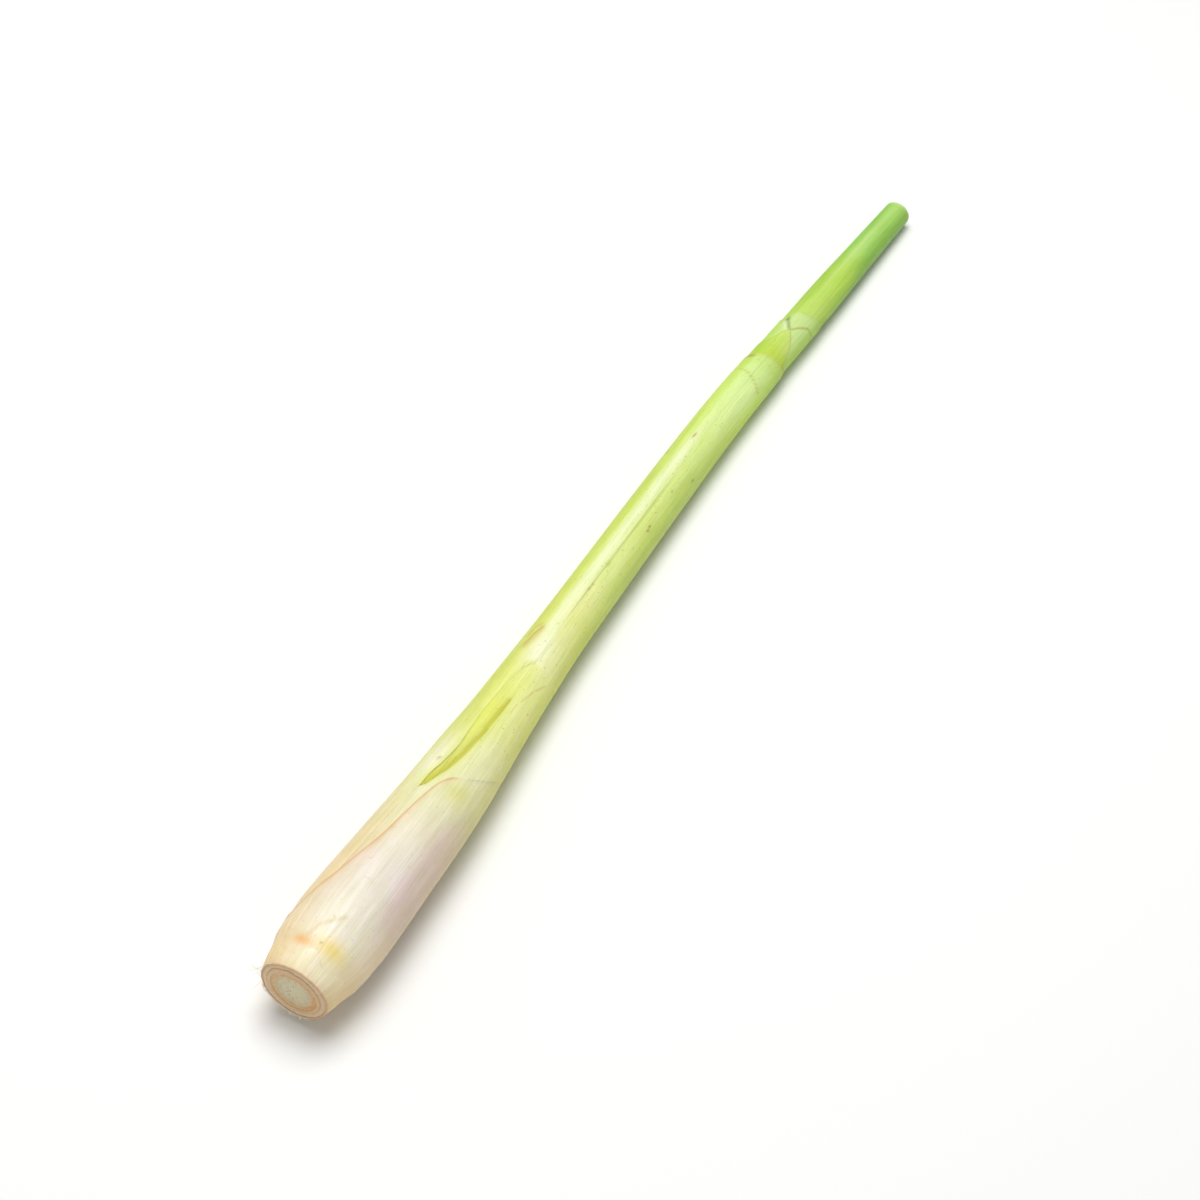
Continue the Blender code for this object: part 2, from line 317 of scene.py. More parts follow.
def cut_finish(name):
    """Wet cut tissue: its own colour with the dots of the veins' ends, beaded with sap."""
    material, tree, shader = new_finish(name, flesh=1.2, weight=0.5, radii=(1.0, 0.9, 0.6))
    tissue = add(tree, "Attribute", {}, attribute_name="tissue")
    inside = add(tree, "TexCoord", {}).outputs["Object"]
    cells = add(tree, "TexVoronoi", {"Vector": inside, "Scale": 0.9 / MM})
    pulp = add(tree, "TexNoise", {"Vector": inside, "Scale": 0.8 / MM, "Detail": 4.0})
    sockets = {"Value": cells.outputs["Distance"], "From Min": 0.08, "From Max": 0.34}
    dots = add(tree, "MapRange", sockets).outputs[0]
    shade = multiplied(tree, tissue.outputs["Color"], dots, (1.06, 1.04, 0.98, 1), (0.95, 0.95, 0.93, 1))
    tree.links.new(shade, shader.inputs["Base Color"])
    sockets = {"Value": pulp.outputs["Fac"], "From Min": 0.35, "From Max": 0.65, "To Min": 0.12,
               "To Max": 0.5}
    tree.links.new(add(tree, "MapRange", sockets).outputs[0], shader.inputs["Roughness"])
    height = add(tree, "Math", {0: pulp.outputs["Fac"], 1: dots}, operation="SUBTRACT")
    relief = add(tree, "Bump", {"Height": height.outputs[0], "Distance": 0.05 * MM, "Strength": 1.0})
    tree.links.new(relief.outputs[0], shader.inputs["Normal"])
    return material


def sap_beads(share, angle):
    """Round beads on the cut, from 0 to 1: the root of 1 less the square of the distance in sizes."""
    beads = np.zeros(np.broadcast(share, angle).shape)
    for bead_share, bead_angle, size in SAP_BEADS:
        bead = bead_share * np.exp(1j * np.radians(bead_angle))
        apart = np.abs(share * np.exp(1j * np.radians(angle)) - bead) / size
        beads = np.maximum(beads, np.sqrt(np.maximum(1 - apart**2, 0)))
    return beads


def make_basal_stem():
    """Rings from the middle of the cut out to its rim, then along the side and in to the growing point.

    The cut is dished, has a low ridge where the tan ring starts, and bears saw marks and beads of sap, tinted
    near white as a painted glint.
    """
    angle = np.arange(STEM_COLUMNS) * 360 / STEM_COLUMNS
    share = np.linspace(*FACE_SHARES, FACE_RINGS)[:, None]
    beads = sap_beads(share, angle)
    ridge_height, ridge_width = CORE_RIDGE
    ridge = ridge_height * np.exp(-(((share - CORE_SHARE) / ridge_width) ** 2))
    dish = FACE_RIM + FACE_DISH * (1 - share**2) - ridge
    face_along = dish + waves(SAW_REACH * share, angle, *SAW_MARKS) * share - SAP_HEIGHT * beads
    face_radius = share * (core_skin(0, angle) - gap(0))
    side = np.array(STEM_SIDE)[:, None]
    side_radius = core_skin(side, angle) - gap(side)
    taper = np.array(STEM_TAPER)
    taper_along, taper_radius = (np.broadcast_to(part[:, None], (len(taper), STEM_COLUMNS))
                                 for part in taper.T)
    along = np.concatenate([face_along, side + 0 * angle, taper_along])
    radius = np.concatenate([face_radius, side_radius, taper_radius])
    angles = along * 0 + angle
    rows = len(along)
    beyond = (rows - FACE_RINGS, STEM_COLUMNS)
    ring = np.concatenate([share + 0 * angle, np.ones(beyond)]) + waves(0, angles, *RING_EDGES)
    stained = STAIN_SHARE * eased(ring, *RING_START) * spot(0, angles, 0, STAIN_ANGLE, 1, STAIN_WIDTH)
    colour = dyed(banded(FACE_TINTS, ring), STAIN, stained)
    # The beads of sap get a painted glint.
    colour = dyed(colour, SAP_GLINT, SAP_GLINT_SHARE * np.concatenate([beads, np.zeros(beyond)]))
    poles = [along[0].mean(), taper[-1, 0]]
    return solid_piece("cut_stem_end", [along, angles], radius, poles, colour, 0, cut_finish("wet cut stem"))


stem = make_basal_stem()
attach(stem, "root")
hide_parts("basal_stem")

# --- Inner leaf roll ----------------------------------------------------------------------------------------
# The young leaves, rolled so tightly that they make one rod. They are pale inside the sheaths and turn from
# yellow-green to leaf green in the open, up to the knife's cut, where the turns of the roll show.

ROLL_COLUMNS = 200
ROLL_ROWS = 360
END_RINGS = 60
HOLLOW = [(55.4, 0.5), (54, 1.0), (46, 1.7), (34, 2.7), (24, 3.4), (ROLL_LEDGE + 0.4, 3.9)]
HOLLOW_END = 56.0
EDGE_ROUNDING = 0.45
EDGE_STEPS = 7
END_DISH = 0.25
TURN_PITCH = 0.62  # from one turn of the roll to the next, on the cut
GROOVE_DEPTH = 0.16
GROOVE_WIDTH = 0.13  # as a share of the pitch
GROOVE_START = (0.05, 0.25)  # as shares of the radius

ROLL_RIDGES = (0.03, (9, 14, 23), 1.5)
LEAF_EDGES = 2  # edges of leaves that show on the outside of the roll
LEAF_EDGE_ANGLE = 40
LEAF_TWIST = 1.1  # degrees that they wind per millimetre
LEAF_EDGE_STEP = 0.45

ROLL_TINTS = [
    (14, (243, 240, 200)), (120, (226, 234, 160)), (226, (204, 229, 130)), (238, (196, 224, 112)),
    (245, (190, 223, 100)), (252, (186, 220, 92)), (258, (178, 217, 98)), (264, (172, 218, 116)),
    (274, (164, 212, 104)), (285, (174, 220, 116)),
]  # fmt: skip

# Painted shade: how much deeper the tissue is painted down both sides and underneath, where less light falls,
# than along the top, at distances along it.
TOP_ANGLE = 69.0
SIDE_SHADE_SPREAD = (14, 78)  # degrees over which the tissue deepens
SIDE_SHADE_TONES = [
    (0, (0.94, 0.80, 0.60)), (45, (0.94, 0.82, 0.60)), (65, (0.93, 0.88, 0.46)), (110, (0.82, 0.89, 0.14)),
    (200, (0.79, 0.91, 0.10)), (245, (0.64, 0.80, 0.12)), (285, (0.56, 0.78, 0.14)),
]  # fmt: skip

# Marks on a piece are (shade, share, distance, angle, length, width) for a soft oval, and (shade, share,
# points it runs through, width) for a soft line. Angles are in degrees and all sizes in millimetres.
ROLL_MARKS = [((172, 204, 66), 0.6, 246, 118, 9, 1.6)]
# Painted shade: a deeper green low on the near side of the roll towards its end, where less light falls.
ROLL_SHADE_GREEN = (139, 190, 62)
ROLL_SHADE_SHARE = 0.75
ROLL_SHADE_ALONG = (250, 262)
ROLL_SHADE_FROM = 70
ROLL_SHADE_ACROSS = (0.5, -3.2)
PALE_STRIPE = ((206, 230, 150), 0.5, (236, 244), (262, 92, 22, 1.0))
DRY_CORNER = ((214, 168, 110), 0.8, (283, 284.6), (0, 20, 1, 1.0))
PALE_RIM = ((226, 240, 196), 0.6, (LENGTH - 1.2, LENGTH - 0.2))
END_TINT = (214, 232, 168)
GROOVE_TINT = (150, 184, 92)
GROOVE_SHARE = 0.8
ROLL_WEAR = 0.35

# Noise on the grain: how it is stretched round and along, its scale and its detail.
FINE_VEINS = ((16, 16, 0.035), 2.0, 3.0)
BROAD_STREAKS = ((5, 5, 0.06), 1.6, 2.0)
CLOUDS = ((2.2, 2.2, 0.22), 1.0, 3.0)
SPECKS = ((9, 9, 1.0), 1.5, 2.0)
BROWN = (0.42, 0.24, 0.07, 1)


def stroke(along, angle, route, width):
    """A soft line through (distance, angle) points: e to the minus the square of its distance, in widths."""
    across = arc(along, angle, route[0][1])
    nearest = np.full(np.broadcast(along, angle).shape, np.inf)
    for (start, start_angle), (end, end_angle) in zip(route, route[1:]):
        size = through(OUTLINE, (start + end) / 2)
        left = np.radians(start_angle - route[0][1]) * size
        run = np.array([np.radians(end_angle - start_angle) * size, end - start])
        share = np.clip(((across - left) * run[0] + (along - start) * run[1]) / (run @ run), 0, 1)
        off = np.hypot(across - left - share * run[0], along - start - share * run[1])
        nearest = np.minimum(nearest, off)
    return np.exp(-((nearest / width) ** 2))


def marked(colour, along, angle, marks):
    """The colour with a list of soft ovals and soft lines dyed into it, one after the other."""
    for shade, share, *shape in marks:
        mask = stroke if len(shape) == 2 else spot
        colour = dyed(colour, shade, share * mask(along, angle, *shape))
    return colour


def side_shaded(colour, along, angle):
    """Painted shade: the colour multiplied by the side shade tones, by a share that rises smoothly away from
    the lit top.
    """
    away = eased(np.abs(np.mod(angle - TOP_ANGLE + 180, 360) - 180), *SIDE_SHADE_SPREAD)[..., None]
    return colour * (1 - away * (1 - mixed(SIDE_SHADE_TONES, along)))


def leaf_finish(name, veins, wrinkles, gloss, flesh):
    """Moist leaf tissue: its own colour, lighter and darker along the veins, with brown specks where worn.

    Veins and wrinkles are heights of the relief in millimetres, gloss is from 0, dull, to 1, and flesh is how
    far light wanders under the skin, in millimetres.
    """
    material, tree, shader = new_finish(name, flesh, weight=0.3, radii=(1.0, 0.85, 0.4))
    tissue = add(tree, "Attribute", {}, attribute_name="tissue")
    grain = add(tree, "Attribute", {}, attribute_name="grain")

    def noise(pattern, least, most):
        """A noise along the grain, as a value that is 0 at its least and 1 at its most."""
        stretch, scale, detail = pattern
        along_grain = add(tree, "Mapping", {"Vector": grain.outputs["Vector"], "Scale": stretch})
        sockets = {"Vector": along_grain.outputs["Vector"], "Scale": scale, "Detail": detail}
        made = add(tree, "TexNoise", sockets)
        sockets = {"Value": made.outputs["Fac"], "From Min": least, "From Max": most}
        return add(tree, "MapRange", sockets).outputs[0]

    vein = noise(FINE_VEINS, 0.3, 0.7)
    streak = noise(BROAD_STREAKS, 0.3, 0.7)
    cloud = noise(CLOUDS, 0.35, 0.65)
    speck = noise(SPECKS, 0.66, 0.74)
    shade = multiplied(tree, tissue.outputs["Color"], vein, (0.93, 0.93, 0.87, 1), (1.04, 1.04, 1.05, 1))
    shade = multiplied(tree, shade, streak, (0.95, 0.96, 0.9, 1), (1.03, 1.03, 1.05, 1))
    shade = multiplied(tree, shade, cloud, (0.97, 0.98, 0.94, 1), (1.02, 1.01, 1.03, 1))
    worn = add(tree, "Math", {0: speck, 1: tissue.outputs["Alpha"]}, operation="MULTIPLY")
    shade = add(tree, "Mix", {0: worn.outputs[0], 6: shade, 7: BROWN}, data_type="RGBA").outputs[2]
    tree.links.new(shade, shader.inputs["Base Color"])
    sockets = {"Value": streak, "To Min": 0.62 - 0.36 * gloss, "To Max": 0.5 - 0.3 * gloss}
    tree.links.new(add(tree, "MapRange", sockets).outputs[0], shader.inputs["Roughness"])
    ridged = add(tree, "Bump", {"Height": vein, "Distance": veins * MM, "Strength": 1.0}).outputs[0]
    sockets = {"Height": streak, "Distance": wrinkles * MM, "Strength": 1.0, "Normal": ridged}
    tree.links.new(add(tree, "Bump", sockets).outputs[0], shader.inputs["Normal"])
    shader.inputs["Specular IOR Level"].default_value = 0.28
    return material


def roll_skin(along, angle):
    """Radius of the roll: the core, and the edges of its leaves as low, winding steps s (1 - s) cubed."""
    steps = np.mod((angle + LEAF_TWIST * along - LEAF_EDGE_ANGLE) / 360 * LEAF_EDGES, 1)
    relief = LEAF_EDGE_STEP * steps * (1 - steps) ** 3 + waves(along, angle, *ROLL_RIDGES)
    return core_skin(along, angle) + free(along) * relief


def roll_tissue(along, angle, on_end, groove):
    """Greens that deepen towards the top, painted shade down the sides and low on the near side by the end, and
    a pale cut end with darker grooves between its turns.
    """
    colour = side_shaded(banded(ROLL_TINTS, along), along, angle)
    # Painted shade low on the near side towards the end.
    roll_shade = eased(along, *ROLL_SHADE_ALONG) * eased(arc(along, angle, ROLL_SHADE_FROM), *ROLL_SHADE_ACROSS)
    colour = dyed(colour, ROLL_SHADE_GREEN, ROLL_SHADE_SHARE * roll_shade)
    shade, share, stretch, oval = PALE_STRIPE
    colour = dyed(colour, shade, share * eased(along, *stretch) * spot(along, angle, *oval))
    colour = marked(colour, along, angle, ROLL_MARKS)
    shade, share, stretch = PALE_RIM
    colour = dyed(colour, shade, share * eased(along, *stretch))
    colour = dyed(colour, END_TINT, on_end)
    colour = dyed(colour, GROOVE_TINT, GROOVE_SHARE * groove)
    shade, share, stretch, oval = DRY_CORNER
    return dyed(colour, shade, share * eased(along, *stretch) * spot(0, angle, *oval))


def make_leaf_roll():
    """Rings down the hollow that fits over the stem, up the outside and in across the cut end.

    The end sinks in a groove where the radius in pitches and the share of a turn add up to a half past a whole.
    """
    angle = np.arange(ROLL_COLUMNS) * 360 / ROLL_COLUMNS
    hollow_along, hollow_radius = (np.broadcast_to(part[:, None], (len(HOLLOW), ROLL_COLUMNS))
                                   for part in np.array(HOLLOW).T)
    outside = np.linspace(HOLLOW[-1][0], LENGTH - EDGE_ROUNDING, ROLL_ROWS)[:, None]
    bend = np.radians(np.linspace(0, 90, EDGE_STEPS)[1:, None])
    rim = roll_skin(LENGTH - EDGE_ROUNDING, angle)
    bend_along = LENGTH - EDGE_ROUNDING * (1 - np.sin(bend)) + 0 * angle
    bend_radius = rim - EDGE_ROUNDING * (1 - np.cos(bend))
    share = np.linspace(1, 0.02, END_RINGS)[1:, None]
    end_radius = share * (rim - EDGE_ROUNDING)
    turns = np.mod(end_radius / TURN_PITCH + angle / 360, 1)
    end_groove = np.exp(-(((turns - 0.5) / GROOVE_WIDTH) ** 2)) * eased(share, *GROOVE_START)
    end_along = LENGTH - GROOVE_DEPTH * end_groove - END_DISH * (1 - share) ** 2
    along = np.concatenate([hollow_along, outside + 0 * angle, bend_along, end_along])
    radius = np.concatenate([hollow_radius, roll_skin(outside, angle), bend_radius, end_radius])
    rows = len(along)
    before_end = np.zeros((rows - len(end_along), ROLL_COLUMNS))
    on_end = np.concatenate([before_end, 0 * end_groove + 1])
    groove = np.concatenate([before_end, end_groove])
    angles = along * 0 + angle
    colour = roll_tissue(along, angles, on_end, groove)
    poles = [HOLLOW_END, LENGTH - END_DISH]
    finish = leaf_finish("young green leaf", veins=0.03, wrinkles=0.05, gloss=0.7, flesh=0.5)
    return solid_piece("leaf_roll", [along, angles], radius, poles, colour, ROLL_WEAR, finish)


roll = make_leaf_roll()
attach(roll, "root")
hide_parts("inner_leaf_roll")

# --- Fourth sheath ------------------------------------------------------------------------------------------
# The innermost sheath that stands free, a pale tube round the leaf roll. Only its collar shows, a whitish
# band with a tan crease where the leaf blade was pulled off. It grows from its own ledge on the stem.

LIP = 0.16  # thickness of a sheath at its free edges
SOFT_EDGE = 10.0  # how far from a free edge a sheath takes to reach its full thickness
ROW_CROWDING = 0.35  # how much closer a tube's rows are at its free edge
LIP_BULGE = 0.07
END_BULGE = 0.1
INSIDE_ROWS = 9  # rows outside for each row inside
END_ROWS = 13

FOURTH_BASE = 10.35
FOURTH_WALL = [(8, 0.02), (16, 0.95), (40, 0.8), (90, 0.5), (160, 0.38), (235, 0.3)]
FOURTH_TOP = [(66, 234), (100, 233.4), (118, 230.5), (128, 229), (156, 231), (246, 235), (336, 236)]
FOURTH_RIDGES = (0.03, (11, 17, 26), 1.5)

FOURTH_TINTS = [
    (10, (244, 240, 206)), (100, (232, 236, 170)), (205, (205, 229, 140)), (220, (205, 232, 146)),
    (228, (208, 234, 158)), (233, (204, 231, 150)), (237, (196, 224, 124)),
]  # fmt: skip
FOURTH_MARKS_AND_FOLD_SHADING = [
    ((214, 226, 158), 0.5, 229, 100, 4, 2.2),
    ((178, 168, 76), 0.75, [(226, 84), (228.6, 62), (230.6, 40), (231, 5)], 0.28),
    # Painted highlight along the near side of the fold.
    ((232, 240, 206), 0.6, [(226.2, 94), (228.4, 112), (230, 126)], 0.5),
    # Painted shadow in the fold, as two darker lines.
    ((140, 166, 92), 0.85, [(226.8, 86), (229, 104), (231.6, 128)], 0.4),
    ((88, 118, 62), 0.9, [(230, 114), (232, 130), (233, 152)], 0.6),
]
FOURTH_EDGE = ((186, 200, 110), 0.5, 0.5)  # shade, share and reach
FOURTH_WEAR = 0.2


def round_the_stalk(points, angles):
    """The smooth closed curve through (angle, value) points, read at angles in degrees."""
    before = [(angle - 360, value) for angle, value in points]
    after = [(angle + 360, value) for angle, value in points]
    return through(before + points + after, np.mod(angles, 360))


def clear_of(top, along, angle):
    """Millimetres from a free edge, square to it: the distance along it, over the root of 1 and its slope
    squared."""
    step = 1.0
    rise = round_the_stalk(top, angle + step) - round_the_stalk(top, angle - step)
    slope = rise / (2 * np.radians(step) * through(OUTLINE, along))
    return (round_the_stalk(top, angle) - along) / np.sqrt(1 + slope**2)


def faded(distance, reach):
    """e to the minus the distance over the reach: 1 at an edge, and no more past it."""
    return np.exp(-np.maximum(distance, 0) / reach)


def wall(full, along, clear, soft, lip=LIP):
    """Thickness of a sheath: its lip at a free edge, and nearer to the full thickness away from it."""
    thick = through(full, along)
    return np.minimum(thick, lip + (thick - lip) * (1 - faded(clear, soft)))


def fourth_skin(along, angle):
    """Radius of the fourth sheath: the roll's, a gap, its wall and its ridges."""
    thickness = wall(FOURTH_WALL, along, clear_of(FOURTH_TOP, along, angle), SOFT_EDGE)
    return roll_skin(along, angle) + free(along) * (GAP + thickness + waves(along, angle, *FOURTH_RIDGES))


def make_tube(name, base, top, skin, inner_skin, rows, columns, tissue, finish):
    """A closed wall round the stalk. Its profile runs up the outside from the base to the free edge, over the
    lip, down the inside and back across the base, and each point of it is carried round the stalk."""
    angle = np.arange(columns) * 360 / columns
    up = np.linspace(0, 1, rows)
    up = up + ROW_CROWDING * up * (1 - up)
    down = np.linspace(1, 0, rows // INSIDE_ROWS)
    across = np.linspace(1, 0, END_ROWS)[1:-1]
    end_bulge = -END_BULGE * (1 - (2 * across - 1) ** 6)
    reach = np.concatenate([up, [1], down, 0 * across])[:, None]
    depth = np.concatenate([0 * up, [0.5], 0 * down + 1, across])[:, None]
    bulge = np.concatenate([0 * up, [LIP_BULGE], 0 * down, end_bulge])[:, None]
    along = base + reach * (round_the_stalk(top, angle) - base) + bulge
    angles = along * 0 + angle
    outside = skin(along, angles)
    inside = inner_skin(along, angles) + gap(along)
    radius = outside + depth * (inside - outside)
    faces = [grid(len(along), columns, True, True)]
    return piece(name, [along, angles], radius, faces, tissue(along, angles), finish)


def fourth_tissue(along, angle):
    """Pale green bands along it with painted shade down the sides, the tan crease with a painted highlight and
    painted shadow lines along its fold, and a tan free edge.
    """
    colour = side_shaded(banded(FOURTH_TINTS, along), along, angle)
    colour = marked(colour, along, angle, FOURTH_MARKS_AND_FOLD_SHADING)
    shade, share, reach = FOURTH_EDGE
    colour = dyed(colour, shade, share * np.exp(-clear_of(FOURTH_TOP, along, angle) / reach))
    return with_wear(colour, FOURTH_WEAR)


fourth = make_tube("collar_sheath", FOURTH_BASE, FOURTH_TOP, fourth_skin, roll_skin, 330, 176, fourth_tissue,
                   leaf_finish("pale collar leaf", veins=0.025, wrinkles=0.05, gloss=0.6, flesh=0.15))
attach(fourth, "root")
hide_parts("fourth_sheath")

# --- Third sheath -------------------------------------------------------------------------------------------
# A yellow-green sheath round the fourth. It shows in the long window where the second sheath's margins part,
# and as a short tongue above the second sheath's collar. It grows from the next ledge down.

THIRD_BASE = 6.35
THIRD_WALL = [(4, 0.02), (14, 1.05), (40, 0.9), (90, 0.55), (160, 0.4), (226, 0.3)]
THIRD_TOP = [
    (15, 216.8), (48, 222.5), (70, 225.4), (82, 226.4), (95, 224.5), (112, 221.6), (124, 220.5), (210, 219),
    (300, 219),
]  # fmt: skip
THIRD_RIDGES = (0.03, (8, 15, 21), 1.5)

THIRD_TINTS = [
    (6, (244, 240, 206)), (40, (232, 232, 150)), (54, (214, 214, 112)), (66, (219, 221, 122)),
    (74, (224, 229, 124)), (82, (224, 229, 116)), (90, (230, 235, 142)), (99, (234, 237, 165)),
    (140, (214, 228, 140)), (205, (202, 224, 110)), (217, (194, 219, 88)), (222, (198, 224, 106)),
    (227, (206, 230, 132)),
]  # fmt: skip
# Painted shadow: a deep olive line in the valley along the window, under the second sheath's lower margin.
THIRD_VALLEY_SHADOW = ((192, 190, 62), 0.85, [(48, 117), (57, 102), (62, 92), (68, 85), (76, 80), (86, 77)], 0.75)
THIRD_GLOW = ((214, 226, 140), 0.5, 222, 40, 3, 2.5)
THIRD_EDGE = ((190, 186, 88), 0.55, 0.25)  # shade, share and reach
THIRD_WEAR = 0.5


def third_skin(along, angle):
    """Radius of the third sheath: the fourth's, a gap, its wall and its ridges."""
    thickness = wall(THIRD_WALL, along, clear_of(THIRD_TOP, along, angle), SOFT_EDGE)
    return fourth_skin(along, angle) + free(along) * (GAP + thickness + waves(along, angle, *THIRD_RIDGES))


def third_tissue(along, angle):
    """Yellow-green bands along it with painted shade down the sides, a deep olive painted shadow line in the
    valley along the window, and a tan free edge.
    """
    colour = side_shaded(banded(THIRD_TINTS, along), along, angle)
    colour = marked(colour, along, angle, [THIRD_VALLEY_SHADOW])
    shade, share, reach = THIRD_EDGE
    colour = dyed(colour, shade, share * faded(clear_of(THIRD_TOP, along, angle), reach))
    return with_wear(marked(colour, along, angle, [THIRD_GLOW]), THIRD_WEAR)


third = make_tube("tongue_sheath", THIRD_BASE, THIRD_TOP, third_skin, fourth_skin, 340, 184, third_tissue,
                  leaf_finish("yellow-green leaf", veins=0.03, wrinkles=0.06, gloss=0.6, flesh=0.15))
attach(third, "root")
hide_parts("third_sheath")

# --- Second sheath ------------------------------------------------------------------------------------------
# The long pale sheath that makes most of the stalk. It is one leaf base rolled once round, its upper margin
# lying on its tucked-in lower one in a seam. Above the bulb they part in a window, and its top is torn.

SECOND_WALL = [(0, 0.9), (15, 1.2), (50, 0.9), (100, 0.6), (160, 0.45), (216, 0.3)]
SECOND_TOP = [(66, 214.8), (100, 214.6), (130, 213.8), (156, 213.6), (246, 215), (336, 216)]
SECOND_RIDGES = (0.035, (7, 13, 19, 31), 1.5)
LOWER_MARGIN = [
    (0, 122), (45, 115), (52, 109), (57, 98), (62, 87), (68, 80), (74, 76), (87, 72), (97, 71.5), (108, 75),
    (119, 78.5), (142, 76.5), (160, 75), (216, 76),
]  # fmt: skip
WINDOW_ANGLE = [
    (0, 0), (50, 0), (60, 18), (68, 20), (74, 27), (82, 33), (90, 30), (96, 20), (101, 0), (216, 0),
]  # fmt: skip
WINDOW_OPENS = (0, 8)  # degrees
MARGINS_PART = (2, 16)  # from the cut, where the sheath is a closed ring
TUCK_ANGLE = 24.0  # how far the lower margin runs on under the upper one where the seam is closed
TUCK_PRESSED = 0.6  # share of its thickness that the tucked part loses
TUCK_STARTS = (360, 364)
UPPER_LIP = 0.03
LOWER_LIP = 0.1
MARGIN_SOFT = 2.6
MARGIN_TOUCHES = 0.6  # millimetres from a margin over which the sheath settles on the one under it
SEAM_STEP = 0.08
SEAM_SHOWN = (112, 124, 156, 176)

# The outer sheath that wraps this one. Where it thins out, this one swells to fill the stalk's outline.
OUTER_WALL = [(0, 1.1), (15, 1.2), (40, 0.8), (62, 0.4), (82, 0.16)]
OUTER_TOP = [
    (7, 68), (37, 64), (58, 61), (76, 59), (87, 56), (96, 46), (102, 37), (115, 27.5), (130, 18), (147, 12),
    (185, 20), (220, 35), (255, 50), (290, 63), (325, 70),
]  # fmt: skip
OUTER_SOFT = 5.0

SECOND_ROWS = 330
SECOND_COLUMNS = 144
MARGIN_BULGE = 0.35  # degrees
SECOND_ENDS = (0.12, 0.05)  # how far the flat ends stand out below and above
END_BEVEL = 0.12  # as a share of the thickness

SECOND_TINTS = [
    (0, (244, 234, 208)), (30, (238, 226, 196)), (52, (234, 234, 196)), (63, (236, 236, 190)),
    (70, (236, 237, 186)), (77, (234, 237, 166)), (85, (237, 240, 167)), (92, (237, 241, 164)),
    (100, (236, 238, 176)), (108, (233, 236, 166)), (116, (232, 235, 154)), (123, (232, 237, 162)),
    (131, (228, 238, 156)), (140, (224, 235, 150)), (148, (218, 232, 138)), (164, (216, 232, 142)),
    (182, (217, 236, 147)), (190, (220, 239, 158)), (199, (222, 242, 165)), (208, (216, 239, 158)),
    (215, (202, 230, 130)),
]  # fmt: skip

# Painted shade: the far side is painted deeper above the window, and so is the near side beyond the seam, where
# less light falls: shade, share, and where.
FAR_SIDE_SHADE = ((196, 208, 96), 0.55, 104, (0, 4, 8, 12), (44, 90))
NEAR_SIDE_SHADE = ((194, 216, 104), 0.55, 60, (0, -3), (96, 140, 160, 200))
# The upper margin catches the light: shade, share, stretch, and middle and width in degrees from the seam.
LIT_STRIP = ((243, 248, 210), 0.75, (98, 112, 172, 194), 18, 14)
# Painted shadow: a thin darker line under the upper margin's edge along the seam.
SEAM_SHADOW_LINE = ((158, 178, 76), 0.3, -0.1, 0.2)  # shade, share, place and width
# Beside the window the sheath is so thin that the leaf under it shows: shade, share, opening and reach.
THIN_MARGIN = ((222, 228, 128), 0.75, (0, 12), 1.3)
TORN_TOP = ((214, 206, 120), 0.5, 0.4)  # shade, share and reach
SECOND_CUT = (226, 192, 150)
CUT_SHOWN = (0.5, 0.1)  # the tint of the cut fades over this stretch above it
SECOND_WEAR = 0.55
WEAR_STARTS = (50, 70)

CREAM_CLOUDS = [((240, 238, 208), 0.6, 62, 122, 8, 3.5), ((247, 243, 226), 0.7, 62, 116, 6, 2.2)]
FLECK = (206, 170, 110)
BRUISE = (150, 92, 44)
LOWER_MARKS = [
    ((244, 245, 214), 0.85, 102.5, 86, 5.5, 2.4),
    ((208, 184, 112), 0.5, [(102.5, 122), (105, 116), (109, 112)], 1.0),
    ((196, 156, 90), 0.6, [(103, 123), (106, 121), (109.5, 112)], 0.3),
    ((194, 152, 88), 0.55, [(106, 133), (108.6, 130), (110.4, 120)], 0.3),
    (FLECK, 0.4, [(83, 62), (86.5, 59)], 0.18),
    (FLECK, 0.5, [(87.5, 57), (91.5, 49)], 0.18),
    (FLECK, 0.6, [(92.5, 46), (95.5, 35)], 0.18),
]
UPPER_MARKS = [
    ((186, 190, 88), 0.6, [(204, 30), (205.5, 62), (207.4, 100), (208, 140)], 0.3),
    (BRUISE, 0.85, 149.2, 47, 0.5, 0.3),
    (BRUISE, 0.8, 150.4, 50, 0.45, 0.25),
    (BRUISE, 0.7, 170, 28, 0.6, 0.32),
    (BRUISE, 0.6, 162.8, 55.6, 0.4, 0.22),
    (BRUISE, 0.75, 181, 95.6, 0.9, 0.28),
    (BRUISE, 0.6, 125, 77.5, 0.5, 0.22),
    (BRUISE, 0.5, 126.6, 76, 0.35, 0.2),
    (BRUISE, 0.6, 63, 113, 0.5, 0.4),
    (BRUISE, 0.5, 174, 136, 0.6, 0.4),
    (BRUISE, 0.4, 188, 190, 0.5, 0.3),
    (BRUISE, 0.4, 134, 236, 0.5, 0.3),
    (BRUISE, 0.5, 96, 208, 0.7, 0.35),
    (BRUISE, 0.95, 213.7, 124, 0.55, 1.0),
    (BRUISE, 0.8, 213.4, 142, 0.6, 1.8),
    ((178, 198, 96), 0.6, 134, 75.6, 1.3, 0.5),
]


def within(value, stretch):
    """1 inside a stretch and 0 outside: it rises between the first two values and falls between the last."""
    rise, top, fall, end = stretch
    return eased(value, rise, top) * (1 - eased(value, fall, end))


def closed(along):
    """1 where one margin lies over the other, and 0 in the window and at the cut, where they are one."""
    return eased(along, *MARGINS_PART) * (1 - eased(through(WINDOW_ANGLE, along), *WINDOW_OPENS))


def open_angle(along):
    """Degrees between the two margins: the window where it is positive, the tuck where it is negative."""
    return through(WINDOW_ANGLE, along) - TUCK_ANGLE * closed(along)


def degree(along):
    """Millimetres round the stalk's outside in one degree."""
    return np.radians(1) * through(OUTLINE, along)


